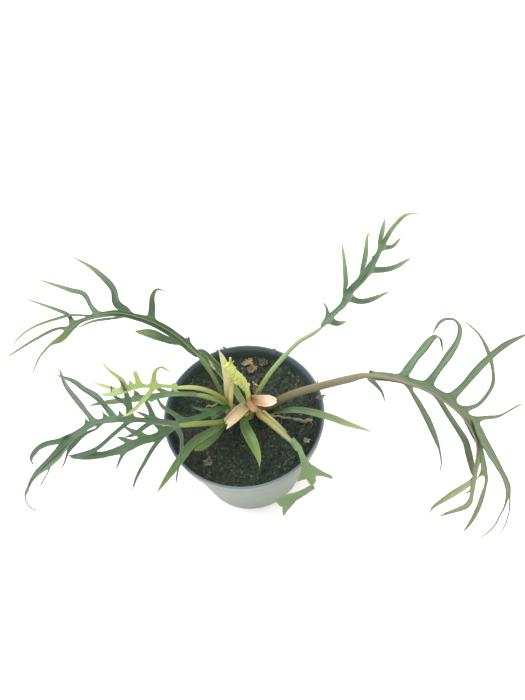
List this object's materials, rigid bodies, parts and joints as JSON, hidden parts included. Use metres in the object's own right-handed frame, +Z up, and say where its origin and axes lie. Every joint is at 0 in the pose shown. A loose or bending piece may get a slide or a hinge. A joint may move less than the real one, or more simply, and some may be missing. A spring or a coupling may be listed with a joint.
{
  "type": "potted plant",
  "caption": "Small houseplant with arching, deeply divided, thread-tipped leaves from short shoots, in a tapered round nursery pot of potting mix.",
  "frame": {"origin": "centre of the pot's underside", "axes": "+Z up; the broad right leaf reaches along +X and droops towards -Y, the long left leaves reach along -X"},
  "size_m": [0.3353, 0.2146, 0.2007],
  "materials": {
    "outer_plastic": "semi-matt moulded plastic",
    "soil": "rough, damp and crumbly",
    "shoot": "smooth green stem",
    "dark_leaf": "satin leaf",
    "mid_leaf": "satin leaf",
    "bright_leaf": "satin leaf",
    "young_leaf": "satin young leaf",
    "bract": "dry papery scale",
    "cream_sheath": "fleshy pale sheath",
    "tan_sheath": "withered sheath",
    "dry": "dry and brittle"
  },
  "bodies": {
    "root": {"pot": "outer_plastic", "soil": "soil", "shoot_left": "shoot", "shoot_middle": "shoot", "shoot_right": "shoot", "leaf_upper_left": "dark_leaf", "leaf_upper_right": "mid_leaf", "leaf_right": "mid_leaf", "leaf_left": "dark_leaf", "leaf_left_low": "dark_leaf", "leaf_left_young": "young_leaf", "leaf_left_middle": "mid_leaf", "leaf_front_right": "mid_leaf", "leaf_back_curled": "dark_leaf", "strap_leaf_outer": "mid_leaf", "strap_leaf_inner": "bright_leaf", "strap_leaf_front": "bright_leaf", "strap_leaf_right": "bright_leaf", "bract_left": "bract", "bract_right": "bract", "spear_cataphyll": "cream_sheath", "stub_cataphyll": "tan_sheath", "unfurling_leaf": "young_leaf", "scrap_back_left": "dry", "scrap_back_middle": "dry", "scrap_back_right": "dry", "scrap_beside_shoot": "dry", "scrap_front_left": "dry", "scrap_right": "dry", "old_root": "dry"}
  },
  "joints": []
}
